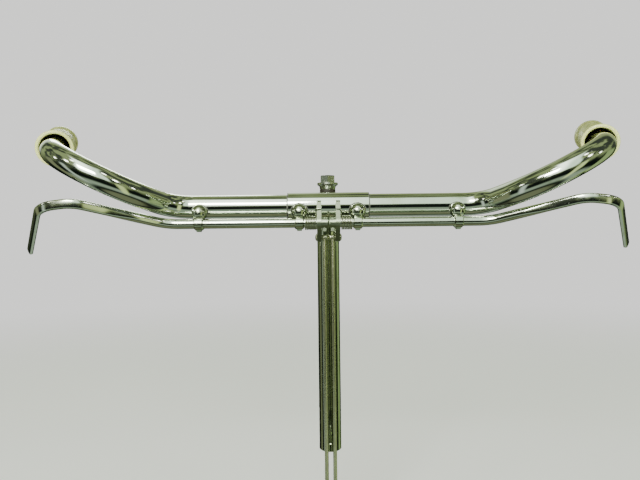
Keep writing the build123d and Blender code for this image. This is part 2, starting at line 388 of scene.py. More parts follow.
@dataclass(frozen=True)
class Celluloid(Finish):
    """The grips' aged cream plastic, with painted shade in its mouth and on its barrel and bulb, darker and
    dirtier in its grooves.

    Attributes:
        cream: Colour of the clean plastic.
        amber: Colour where it has yellowed.
        marbled: Colour of the paler veins.
        grime: Colour of the painted shade and of dirty grooves.
    """

    cream: Point = (0.92, 0.95, 0.38)
    amber: Point = (0.50, 0.52, 0.13)
    marbled: Point = (0.90, 0.92, 0.60)
    grime: Point = (0.10, 0.12, 0.035)

    def _shade(self, graph: Graph, shader: object, place: object) -> None:
        """Yellow and marble the plastic, paint shade on it from the per-vertex mask and darken its grooves.

        Args:
            graph, shader, place: The nodes, the shader's inputs and the object coordinates.
        """
        times, plus, link = graph.times, graph.plus, graph.tree.links.new
        # The per-vertex mask is painted shade in the mouth and on the barrel and bulb, deepest in the rib
        # grooves and mottled as if soiled; the fine specks are soiling.
        groove = graph.node("ShaderNodeAttribute", attribute_name="groove").outputs["Fac"]
        aged = graph.ramp(graph.noise(place, 42, 5, 0.6), 0.4, 0.75)
        veins = graph.stretched(place, (0.3, 0.2, 0), (60, 160, 160))
        marble = graph.ramp(graph.noise(veins, 1.0, 4), 0.5, 0.7)
        dirt = times(groove, graph.ramp(graph.noise(place, 130, 4), 0.25, 0.6, 0.5, 1.0))
        speck = graph.ramp(graph.noise(place, 900, 2), 0.70, 0.78, 0.0, 0.25)
        colour = graph.mix(times(aged, 0.55), rgba(self.cream), rgba(self.amber))
        colour = graph.mix(times(marble, 0.15), colour, rgba(self.marbled))
        link(graph.mix(graph.math("MAXIMUM", dirt, speck), colour, rgba(self.grime)), shader["Base Color"])
        rough = plus(times(dirt, 0.3), 0.28)
        link(plus(times(aged, 0.15), rough, clamp=True), shader["Roughness"])
        for name, value in (("Subsurface Weight", 0.12), ("Subsurface Radius", (0.004, 0.003, 0.0015)),
                            ("Subsurface Scale", 0.5), ("Coat Weight", 0.25), ("Coat Roughness", 0.15)):
            shader[name].default_value = value
        height = {"Height": graph.noise(place, 700, 4), "Distance": 2e-5, "Strength": 0.6}
        bump = graph.one("ShaderNodeBump", height)
        link(bump, shader["Normal"])


# Painted shade on the bar chrome: halos where the bosses meet the bar and under the bolt's washer, and a
# ring at the seam.
SHADE_NESTS = (((0.122, -0.0424, 0.074), 0.0076), ((0.0275, -0.0424, 0.074), 0.0076),
              ((0, 0, 0.0945), 0.0105))
BAR_CHROME = Metal("bar_chrome", (0.80, 0.85, 0.76), (0.58, 0.63, 0.46), polish=0.07, haze=0.10,
                   scratches=0.12, pits=0.10, grain=1e-6, seam=0.039, nests=SHADE_NESTS)
LEVER_CHROME = Metal("lever_chrome", (0.80, 0.85, 0.74), (0.56, 0.60, 0.42), polish=0.11, haze=0.15,
                     scratches=0.18, pits=0.34)
BRACKET_CHROME = Metal("bracket_chrome", (0.66, 0.72, 0.58), (0.38, 0.42, 0.26), polish=0.12, haze=0.18,
                       scratches=0.16, pits=0.45)
QUILL_STEEL = Metal("quill_steel", (0.60, 0.65, 0.52), (0.38, 0.42, 0.27), polish=0.11, haze=0.14,
                    scratches=0.20, pits=0.35)
BOLT_STEEL = Metal("bolt_steel", (0.58, 0.62, 0.51), (0.36, 0.39, 0.27), polish=0.22, haze=0.16,
                   scratches=0.18, pits=0.35, grain=4e-6)
CRANK_STEEL = Metal("crank_steel", (0.36, 0.41, 0.29), (0.22, 0.26, 0.16), polish=0.34, haze=0.16,
                    scratches=0.18, pits=0.42, grain=4e-6)
ROD_STEEL = Metal("rod_steel", (0.74, 0.75, 0.52), (0.48, 0.48, 0.28), polish=0.26, haze=0.16,
                  scratches=0.20, pits=0.40, grain=3e-6)
SPRING_STEEL = Metal("spring_steel", (0.56, 0.58, 0.46), (0.28, 0.29, 0.20), polish=0.18, haze=0.18,
                     scratches=0.14, pits=0.35, grain=3e-6)
GRIP_CREAM = Celluloid("grip_cream")


# --- mesh building


def smooth(mesh: Mesh, angle: float = 38.0) -> Mesh:
    """Shade a mesh smooth and keep its sharp edges.

    Args:
        mesh: The mesh, which is changed.
        angle: How many degrees an edge turns before it is kept sharp.

    Returns:
        The same mesh.
    """
    mesh.shade_smooth()
    mesh.set_sharp_from_angle(angle=math.radians(angle))
    return mesh


def finished(name: str, work: bmesh.types.BMesh) -> Mesh:
    """Turn a closed work mesh into a smooth mesh and free it.

    Args:
        name: The mesh's name.
        work: The work mesh.

    Returns:
        The smooth mesh.
    """
    bmesh.ops.recalc_face_normals(work, faces=work.faces)
    mesh = bpy.data.meshes.new(name)
    work.to_mesh(mesh)
    work.free()
    return smooth(mesh)


def rounded_path(corners: Sequence[Vector], radii: Sequence[float], step: float) -> list[Vector]:
    """A line through corners whose inner ones are rounded by tangent arcs.

    Args:
        corners: The line's corners, in metres.
        radii: One radius for each inner corner.
        step: The longest distance between two points.

    Returns:
        The points of the rounded line, evenly close.
    """
    outline = [corners[0]]
    for before, corner, after, radius in zip(corners, corners[1:], corners[2:], radii):
        back, on = (before - corner).normalized(), (after - corner).normalized()
        turn = math.pi - back.angle(on)
        reach = radius * math.tan(turn / 2)
        centre = corner + (back + on).normalized() * radius / math.cos(turn / 2)
        arm = corner + back * reach - centre
        pivot = arm.cross(corner - centre).normalized()
        count = max(2, math.ceil(radius * turn / step))
        outline += [centre + Matrix.Rotation(turn * i / count, 3, pivot) @ arm for i in range(count + 1)]
    outline.append(corners[-1])
    points = [outline[0]]
    for start, end in zip(outline, outline[1:]):
        count = max(1, math.ceil((end - start).length / step))
        points += [start.lerp(end, (i + 1) / count) for i in range(count)]
    return points


def swept_mesh(name: str, path: Sequence[Vector], across: Vector,
               section: Callable[[float], list[Pair]]) -> Mesh:
    """Sweep a changing section along a line without twist.

    Args:
        name: The mesh's name.
        path: The line's points.
        across: The direction of the section's first axis at the line's start.
        section: Gives the section's points in metres for a distance along the line.

    Returns:
        A closed mesh.
    """
    work = bmesh.new()
    rings, travelled = [], 0.0
    heading = (path[1] - path[0]).normalized()
    side = (across - heading * across.dot(heading)).normalized()
    for index, point in enumerate(path):
        ahead = path[min(index + 1, len(path) - 1)] - path[max(index - 1, 0)]
        new_heading = ahead.normalized()
        side = heading.rotation_difference(new_heading) @ side
        heading = new_heading
        up = heading.cross(side)
        if index:
            travelled += (point - path[index - 1]).length
        rings.append([work.verts.new(point + side * u + up * v) for u, v in section(travelled)])
    count = len(rings[0])
    for first, second in zip(rings, rings[1:]):
        for i in range(count):
            j = (i + 1) % count
            work.faces.new((first[i], first[j], second[j], second[i]))
    work.faces.new(rings[0][::-1])
    work.faces.new(rings[-1])
    return finished(name, work)


def lathe(name: str, profile: Sequence[Pair], origin: Vector, axis: Vector,
          count: int = 64) -> Mesh:
    """Turn a profile about an axis.

    Args:
        name: The mesh's name.
        profile: Points of radius and distance along the axis, in metres; a radius of 0 closes an end.
        origin: A point on the axis.
        axis: The axis's direction.
        count: Faces round the axis.

    Returns:
        The turned mesh, with a "ring" attribute that holds each vertex's place in the profile.
    """
    axis = axis.normalized()
    side = axis.orthogonal().normalized()
    other = axis.cross(side)
    work = bmesh.new()
    layer = work.verts.layers.float.new("ring")
    rings = []
    for number, (radius, along) in enumerate(profile):
        middle = origin + axis * along
        if radius < 1e-7:
            ring = [work.verts.new(middle)]
        else:
            ring = [work.verts.new(middle + (side * math.cos(a) + other * math.sin(a)) * radius)
                    for a in (2 * math.pi * i / count for i in range(count))]
        for vertex in ring:
            vertex[layer] = number
        rings.append(ring)
    for first, second in zip(rings, rings[1:]):
        for i in range(count):
            j = (i + 1) % count
            loop = [ring[k % len(ring)] for ring, k in ((first, i), (first, j), (second, j), (second, i))]
            work.faces.new(list(dict.fromkeys(loop)))
    return finished(name, work)


def scaled(rows: Sequence[Pair]) -> list[Pair]:
    """Turn pairs of millimetres into metres."""
    return [(first * MM, second * MM) for first, second in rows]


def arc(middle: Pair, size: Pair, first: float, last: float, steps: int) -> list[Pair]:
    """Points on an upright ellipse.

    Args:
        middle, size: The ellipse's middle and half axes; a negative one turns the arc over.
        first, last: The angles of the first and last point, in degrees.
        steps: The gaps between points.

    Returns:
        The points.
    """
    angles = (math.radians(first + (last - first) * i / steps) for i in range(steps + 1))
    return [(middle[0] + size[0] * math.cos(a), middle[1] + size[1] * math.sin(a)) for a in angles]


def linked(name: str, data: bpy.types.ID) -> bpy.types.Object:
    """Put a new object in the scene.

    Args:
        name: The object's name.
        data: Its mesh, light or camera.

    Returns:
        The object.
    """
    made = bpy.data.objects.new(name, data)
    bpy.context.scene.collection.objects.link(made)
    return made


def show(name: str, mesh: Mesh, finish: Finish, body: str,
         *nodes: str) -> bpy.types.Object:
    """Put a finished mesh in the scene.

    Args:
        name: The piece's name.
        mesh: Its mesh, already in place.
        finish: What it is made of.
        body: The body that it moves with.
        *nodes: The CAD nodes that it stands for.

    Returns:
        The piece's object.
    """
    piece = linked(name, mesh)
    mesh.materials.clear()
    mesh.materials.append(finish.material())
    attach(piece, body)
    if nodes:
        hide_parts(*nodes)
    log.info("%s rides on %s", name, body)
    return piece


def dress(node: str, finish: Finish) -> None:
    """Give a CAD node that stays its finish.

    Args:
        node: The node's name.
        finish: What it is made of.
    """
    shown = frame["nodes"][node]
    shown.data.materials.clear()
    shown.data.materials.append(finish.material())
    log.info("%s stays, in %s", node, finish.slot)


# --- geometry nodes


class MeshTree:
    """A geometry node tree that is run on a mesh, after which only the result is kept."""

    def __init__(self, name: str, start: str, inputs: dict[str, str], end: str) -> None:
        """Open the tree with its sockets.

        Args:
            name: The tree's name.
            start, end: The names of the mesh that goes in and of the one that comes out.
            inputs: Name to kind of the other inputs; "Finish" is added to them.
        """
        self.tree = bpy.data.node_groups.new(name, "GeometryNodeTree")
        faces = self.tree.interface
        faces.new_socket(start, in_out="INPUT", socket_type="NodeSocketGeometry")
        self.ids = {}
        for key, kind in {**inputs, "Finish": "Material"}.items():
            made = faces.new_socket(key, in_out="INPUT", socket_type=f"NodeSocket{kind}")
            self.ids[key] = made.identifier
        faces.new_socket(end, in_out="OUTPUT", socket_type="NodeSocketGeometry")
        self.graph = Graph(self.tree)
        self.start = self.graph.node("NodeGroupInput").outputs

    def close(self, solid: object) -> None:
        """Give the solid its finish and make it the tree's result.

        Args:
            solid: The geometry's socket.
        """
        real = self.graph.one("GeometryNodeRealizeInstances", {0: solid})
        dressed = {"Geometry": real, "Material": self.start["Finish"]}
        last = self.graph.one("GeometryNodeSetMaterial", dressed)
        self.graph.node("NodeGroupOutput", {0: last})

    def run(self, name: str, start: Mesh, values: dict[str, object]) -> Mesh:
        """Run the tree on a mesh.

        Args:
            name: The result's name.
            start: The mesh that the tree starts from.
            values: Input name to value.

        Returns:
            A plain mesh.
        """
        holder = linked(name, start)
        modifier = holder.modifiers.new(name, "NODES")
        modifier.node_group = self.tree
        for key, value in values.items():
            modifier[self.ids[key]] = value
        graph = bpy.context.evaluated_depsgraph_get()
        result = bpy.data.meshes.new_from_object(holder.evaluated_get(graph))
        holder.modifiers.remove(modifier)
        bpy.data.objects.remove(holder)
        result.name = name
        return smooth(result)


class WireTree(MeshTree):
    """A node tree that turns a chain of edges into a round bar with rounded corners.

    Each corner's radius is the chain's "bend" attribute.
    """

    def __init__(self) -> None:
        """Build the tree: round the corners, set even points and sweep a circle."""
        super().__init__("round_wire", "Chain", {"Radius": "Float", "Step": "Float", "Sides": "Int"}, "Bar")
        node, start = self.graph.one, self.start
        bend = node("GeometryNodeInputNamedAttribute", {"Name": "bend"}, data_type="FLOAT")
        line = node("GeometryNodeMeshToCurve", {"Mesh": start["Chain"]})
        corner = {"Curve": line, "Radius": bend, "Count": 32, "Limit Radius": True}
        line = node("GeometryNodeFilletCurve", corner, mode="POLY")
        even = {"Curve": line, "Length": start["Step"]}
        line = node("GeometryNodeResampleCurve", even, mode="LENGTH")
        circle = {"Resolution": start["Sides"], "Radius": start["Radius"]}
        ring = node("GeometryNodeCurvePrimitiveCircle", circle)
        sweep = {"Curve": line, "Profile Curve": ring, "Fill Caps": True}
        self.close(node("GeometryNodeCurveToMesh", sweep))

    def mesh(self, name: str, corners: Sequence[Vector], bends: Sequence[float], radius: float,
             finish: Metal, step: float = 0.002, sides: int = 48) -> Mesh:
        """Make one bar.

        Args:
            name, finish: The mesh's name and what it is made of.
            corners, bends: The centreline, and a radius for every corner, 0 at the ends.
            radius: The bar's own radius.
            step, sides: The distance between two rings and the faces round the bar.

        Returns:
            The plain mesh.
        """
        chain = bpy.data.meshes.new(name)
        chain.from_pydata(corners, [(i, i + 1) for i in range(len(corners) - 1)], [])
        chain.attributes.new("bend", "FLOAT", "POINT").data.foreach_set("value", bends)
        sizes = {"Radius": radius, "Step": step, "Sides": sides}
        return self.run(name, chain, {**sizes, "Finish": finish.material()})


class KnurlTree(MeshTree):
    """A node tree that sets straight ridges round a cylinder that stands along Z at the origin."""

    def __init__(self) -> None:
        """Build the tree: a bar on each point of a circle, turned so that an edge looks out."""
        kinds = {"Count": "Int", "Radius": "Float", "Width": "Float", "Length": "Float"}
        super().__init__("knurl", "Core", kinds, "Nut")
        node, graph, start = self.graph.one, self.graph, self.start
        circle = {"Vertices": start["Count"], "Radius": start["Radius"]}
        ring = node("GeometryNodeMeshCircle", circle)
        angle = graph.times(graph.math("DIVIDE", math.tau, start["Count"]),
                            node("GeometryNodeInputIndex"))
        turned = node("ShaderNodeCombineXYZ", {"Z": graph.plus(angle, math.pi / 4)})
        sides = {"X": start["Width"], "Y": start["Width"], "Z": start["Length"]}
        size = node("ShaderNodeCombineXYZ", sides)
        ridge = node("GeometryNodeMeshCube", {"Size": size})
        spin = node("FunctionNodeEulerToRotation", {0: turned})
        placed = {"Points": ring, "Instance": ridge, "Rotation": spin}
        ridges = node("GeometryNodeInstanceOnPoints", placed)
        both = graph.node("GeometryNodeJoinGeometry")
        for part in (start["Core"], ridges):
            self.tree.links.new(part, both.inputs[0])
        self.close(both.outputs[0])

    def mesh(self, name: str, core: Mesh, count: int, radius: float, width: float, length: float,
             finish: Metal) -> Mesh:
        """Set ridges on a core.

        Args:
            name, finish: The mesh's name and what it is made of.
            core: The smooth core, along Z at the origin.
            count: How many ridges.
            radius: The circle that the ridges' middles lie on.
            width, length: A ridge's side and length.

        Returns:
            The plain mesh.
        """
        sizes = {"Count": count, "Radius": radius, "Width": width, "Length": length}
        return self.run(name, core, {**sizes, "Finish": finish.material()})


# --- sub-assemblies


@dataclass
class Bar:
    """The bent tube, in millimetres from the middle of its straight run.

    Its radius is a hair under the solid's, so that no facet stands out of it.
    """

    wire: WireTree
    radius: float = 11.08
    bends: tuple[Point, ...] = ((149, 0, 0), (183, -58, 14), (243, -56, 45))
    bend_radii: tuple[float, ...] = (34, 53, 54)
    rear: Point = (300, 100, 82)
    inside_grip: float = 6.0

    def build(self) -> None:
        """Make the tube as one smooth sweep."""
        sides = {}
        for side in Side:
            corners = [side.at(*point) for point in self.bends]
            rear = side.at(*self.rear)
            corners.append(rear + (corners[-1] - rear).normalized() * self.inside_grip * MM)
            sides[side] = corners
        corners = sides[Side.RIGHT][::-1] + sides[Side.LEFT]
        radii = [0, *reversed(self.bend_radii), *self.bend_radii, 0]
        mesh = self.wire.mesh("bar_tube_smooth", corners, [r * MM for r in radii], self.radius * MM,
                              BAR_CHROME, sides=64)
        show("bar_tube_smooth", mesh, BAR_CHROME, FIXED_BODY, "bar_tube")


@dataclass
class Grip:
    """One cream grip with a rolled front rim, fine hoop ribs and a bulb at its rear, in millimetres.

    The barrel is its end radius and its swell; rim and bulb are the middle and half sizes of an ellipse.
    """

    side: Side
    bar: Bar
    length: float = 112.0
    rib_start: float = 15.0
    rib_end: float = 94.0
    rib_pitch: float = 3.2
    rib_depth: float = 0.55
    barrel: Pair = (14.5, 1.8)
    rim: tuple[Pair, Pair] = ((15.75, 2.3), (1.75, -1.9))
    bulb: tuple[Pair, Pair] = ((12.5, 103.0), (5.0, 8.6))

    def body_radius(self, along: float) -> float:
        """The barrel's radius without its ribs, in millimetres."""
        share = (along - self.rib_start) / (self.rib_end - self.rib_start)
        return self.barrel[0] + self.barrel[1] * math.sin(math.pi * min(1, max(0, share)) ** 0.9)

    def profile(self) -> list[tuple[float, float, float]]:
        """Work out the grip's outline, from the mouth's floor round to the rear.

        Returns:
            Rows of radius, distance along the grip and painted shade with soiling, from 0 to 1.
        """
        # The third numbers are painted shade: full on the mouth's floor, none on the rim, high on the barrel
        # and bulb, highest in the rib grooves.
        rows = [(11.0, 26.0, 1.0), (11.6, 24.0, 1.0), (13.0, 14.0, 1.0), (13.7, 7.0, 1.0), (13.95, 4.0, 0.9)]
        rows += [(radius, along, 0.0) for radius, along in arc(*self.rim, 200, 10, 16)]
        rows += [(17.0, 4.4, 0.0), (16.2, 6.4, 0.15), (15.3, 9.0, 0.5), (14.8, 12.5, 0.8)]
        steps = round((self.rib_end - self.rib_start) / self.rib_pitch * 10)
        for i in range(steps + 1):
            along = self.rib_start + (self.rib_end - self.rib_start) * i / steps
            wave = abs(math.cos(math.pi * (along - self.rib_start) / self.rib_pitch)) ** 0.6
            rows.append((self.body_radius(along) - self.rib_depth * (1 - wave), along,
                         0.78 + 0.2 * (1 - wave) ** 1.5))
        for i, (radius, along) in enumerate(arc(*self.bulb, -70, 90, 20)):
            rows.append((radius, along, 0.85 if i < 4 else 0.70))
        return [*rows, (9.0, 111.9, 0.45), (4.0, self.length, 0.45), (0.0, self.length, 0.45)]

    def build(self) -> None:
        """Turn the profile round the grip's axis and store its painted shade on each vertex."""
        name = f"{self.side.word}_grip"
        rear = self.side.at(*self.bar.rear)
        axis = (rear - self.side.at(*self.bar.bends[-1])).normalized()
        rows = self.profile()
        mesh = lathe(f"{name}_turned", scaled([row[:2] for row in rows]),
                     rear - axis * self.length * MM, axis, 96)
        rings = [row.value for row in mesh.attributes["ring"].data]
        # Painted shade, per vertex, from the profile's third numbers.
        dirt = mesh.attributes.new("groove", "FLOAT", "POINT")
        dirt.data.foreach_set("value", [rows[round(ring)][2] for ring in rings])
        show(f"{name}_turned", mesh, GRIP_CREAM, FIXED_BODY, name)


@dataclass
class Lever:
    """One lever: a round rod that flattens past its first bend and sweeps back as a blade.

    Sizes are in millimetres. The last corner is the blade's tip.
    """

    side: Side
    rod_radius: float = 4.75
    shank_radius: float = 4.0
    shank_gap: float = 1.2
    chamfer: float = 0.6
    shoulder: float = 11.05
    corners: tuple[Point, ...] = ((152, -14, -16.6), (225, -55, 1.8), (254.5, -54, -1.5),
                                  (304.5, 33, -40.5))
    radii: tuple[float, ...] = (40, 30, 24)
    half_thickness: float = 2.2
    half_height: float = 4.4
    flat_from: float = 24.0
    flat_to: float = 58.0

    def section(self, along: float) -> list[Pair]:
        """Work out the section, a circle that passes into a rounded flat.

        Args:
            along: The distance from the rod's shoulder, in metres.

        Returns:
            Its points, in metres.
        """
        bend_at = self.corners[0][0] - self.shoulder
        flat = min(1, max(0, (along / MM - bend_at - self.flat_from) / (self.flat_to - self.flat_from)))
        flat = flat * flat * (3 - 2 * flat)
        wide = self.rod_radius + (self.half_thickness - self.rod_radius) * flat
        tall = self.rod_radius + (self.half_height - self.rod_radius) * flat
        power = 2 / (2 + 0.9 * flat)
        points = []
        for i in range(40):
            angle = math.tau * i / 40
            c, s = math.cos(angle), math.sin(angle)
            points.append((wide * math.copysign(abs(c) ** power, c) * MM,
                           tall * math.copysign(abs(s) ** power, s) * MM))
        return points

    def build(self) -> None:
        """Sweep the lever and turn the shank that carries the crank."""
        name = body = f"{self.side.word}_lever"
        start = self.side.at(self.shoulder, *self.corners[0][1:])
        corners = [start, *(self.side.at(*c) for c in self.corners)]
        path = rounded_path(corners, [r * MM for r in self.radii], 2 * MM)
        mesh = swept_mesh(f"{name}_forged", path, Vector((0, 1, 0)), self.section)
        show(f"{name}_forged", mesh, LEVER_CHROME, body, name)
        run = Vector((-self.side.value, 0, 0))
        r, cut, out = self.shank_radius, self.chamfer, self.shoulder - self.shank_gap
        profile = [(0, -1), (r, -1), (r, out - cut), (r - cut, out), (0, out)]
        shank = lathe(f"{name}_shank", scaled(profile), start, run, 48)
        show(f"{name}_shank", shank, LEVER_CHROME, body)


@dataclass
class ReturnSpring:
    """One torsion spring, which winds up between the inner eye and the crank arm, in millimetres.

    The hook's points are given from the coil's top at its inner end.
    """

    side: Side
    wire: WireTree
    wire_radius: float = 0.68
    coil_radius: float = 6.3
    outer: float = 22.0
    inner: float = 11.9
    turns: float = 6.75
    rod_y: float = -14.0
    rod_z: float = -16.6
    leg_rise: float = 5.4
    hook: tuple[Point, ...] = ((0, -4, 0.6), (0, -6.4, 2.6), (-0.4, -6.9, 5.4), (-1.6, -7.0, 6.4),
                               (-5.0, -7.0, 6.6))

    def path(self) -> list[Vector]:
        """Work out the wire's line.

        Returns:
            The leg against the sleeve, the coil, and the leg hooked on the crank's finger.
        """
        steps = round(self.turns * 28)
        coil = [self._on_coil(-math.tau * self.turns * i / steps,
                              self.outer + (self.inner - self.outer) * i / steps) for i in range(steps + 1)]
        leg = self.side.at(self.outer, self.rod_y + self.coil_radius, self.rod_z + self.leg_rise)
        top = self.rod_z + self.coil_radius
        hook = [self.side.at(self.inner + x, self.rod_y + y, top + z) for x, y, z in self.hook]
        return [leg, *coil, *hook]

    def _on_coil(self, angle: float, x: float) -> Vector:
        """A point of the coil, at an angle about the rod and a distance from the bar's middle."""
        return self.side.at(x, self.rod_y + self.coil_radius * math.cos(angle),
                            self.rod_z + self.coil_radius * math.sin(angle))

    def build(self) -> None:
        """Sweep the wire and put the spring in place."""
        name = f"{self.side.word}_return_spring"
        path = self.path()
        mesh = self.wire.mesh(f"{name}_wound", path, [0.0] * len(path), self.wire_radius * MM, SPRING_STEEL,
                              step=0.9 * MM, sides=12)
        piece = linked(f"{name}_wound", mesh)
        axis = (self.rod_y, self.rod_z)
        self.side.at(self.outer - 0.5, *axis)
        self.side.at(self.inner, *axis)
        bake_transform(piece)
        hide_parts(name)
        log.info("%s winds between %s and its lever", name, FIXED_BODY)


@dataclass
class PullRod:
    """One pull rod: a cross head, a rod with a threaded foot and a knurled sleeve nut, in millimetres.

    The head is its radius and two ends, and so is the rivet, the pin's spread end.
    """

    side: Side
    knurl: KnurlTree
    pin_y: float = 5.0
    pin_z: float = -30.5
    hang_x: float = 4.1
    radius: float = 1.9
    length: float = 300.0
    pin_radius: float = 2.1
    head: Point = (2.7, 0.4, 6.4)
    head_edge: float = 1.2
    rivet: Point = (2.9, 12.0, 13.0)
    thread: float = 16.0
    thread_pitch: float = 0.8
    nut_radius: float = 3.8
    nut_length: float = 28.0
    bore: float = 2.1
    bore_depth: float = 12.0
    ridges: int = 26
    ridge_width: float = 0.7
    plain: float = 7.0

    def build(self) -> None:
        """Turn the cross head and the rod, and cut the nut."""
        word = self.side.word
        middle = self.side.at(0, self.pin_y, self.pin_z)
        out = Vector((self.side.value, 0, 0))
        head = lathe(f"{word}_cross_head", scaled(self._head_profile()), middle, out, 48)
        show(f"{word}_cross_head", head, ROD_STEEL, f"{word}_pull_rod", f"{word}_pull_rod")
        top = self.side.at(self.hang_x, self.pin_y, self.pin_z)
        rod = lathe(f"{word}_rod_drawn", scaled(self._rod_profile()), top, Vector((0, 0, -1)), 32)
        show(f"{word}_rod_drawn", rod, ROD_STEEL, f"{word}_pull_rod")
        self._nut(top - Vector((0, 0, (self.length - self.thread + 1) * MM)))

    def _head_profile(self) -> list[Pair]:
        """Work out the barrel with rounded ends, the pin and its spread end.

        Returns:
            Radii and distances from the middle plane.
        """
        big, inner, outer = self.head
        small, rivet, end = self.rivet
        edge = self.head_edge
        rows = [(0, inner), *arc((big - edge, inner + edge), (edge, edge), -90, 0, 7),
                *arc((big - edge / 2, outer - edge), (edge / 2, edge), 0, 90, 7)]
        rows += [(self.pin_radius, outer), (self.pin_radius, rivet), (small - 0.1, rivet)]
        rows += arc((0, rivet + 0.15), (small, end - rivet - 0.15), 0, 75, 5)
        return [*rows, (0, end)]

    def _rod_profile(self) -> list[Pair]:
        """Work out the rod from inside its head to its threaded foot.

        Returns:
            Radii and distances below the pin.
        """
        start = self.length - self.thread
        rows = [(0, 1.0), (self.radius, 1.0), (self.radius, start - 0.4), (self.radius - 0.2, start)]
        crest, root = self.radius - 0.22, self.radius - 0.62
        for i in range(round(self.thread / self.thread_pitch)):
            along = start + 0.2 + i * self.thread_pitch
            rows += [(root, along), (crest, along + self.thread_pitch / 2)]
        return [*rows, (root, self.length), (0, self.length)]

    def _nut(self, top: Vector) -> None:
        """Turn the sleeve nut's core, knurl it and hang it on the rod's foot.

        Args:
            top: The middle of the nut's upper face.
        """
        name = f"{self.side.word}_sleeve_nut"
        r, n, b = self.nut_radius - 0.3, self.nut_length, self.bore
        profile = [(self.radius - 0.2, 0), (r - 0.9, 0), (r, 0.9), (r, n - 1.1), (r - 0.7, n - 0.2),
                   (b + 0.4, n), (b, n - 0.4), (b, n - self.bore_depth), (0, n - self.bore_depth)]
        core = lathe(f"{name}_core", scaled([(a, n / 2 - d) for a, d in profile]), Vector(),
                     Vector((0, 0, 1)), 48)
        mesh = self.knurl.mesh(f"{name}_knurled", core, self.ridges, (r - 0.2) * MM, self.ridge_width * MM,
                               (n - self.plain) * MM, ROD_STEEL)
        mesh.transform(Matrix.Translation(top - Vector((0, 0, n * MM / 2))))
        show(f"{name}_knurled", smooth(mesh, 30), ROD_STEEL, f"{self.side.word}_pull_rod", name)


KEPT_NODES = {
    "stem_lug": BAR_CHROME,
    **dict.fromkeys(("quill_tube", "expander_cone"), QUILL_STEEL),
    **dict.fromkeys(("expander_bolt", "bolt_washer"), BOLT_STEEL),
}
SIDE_NODES = {
    **dict.fromkeys(("outer_boss", "inner_boss", "outer_eye", "inner_eye"), BRACKET_CHROME),
    **dict.fromkeys(("crank_arm", "clamp_screw"), CRANK_STEEL),
    "rod_washer": ROD_STEEL,
}


# --- studio


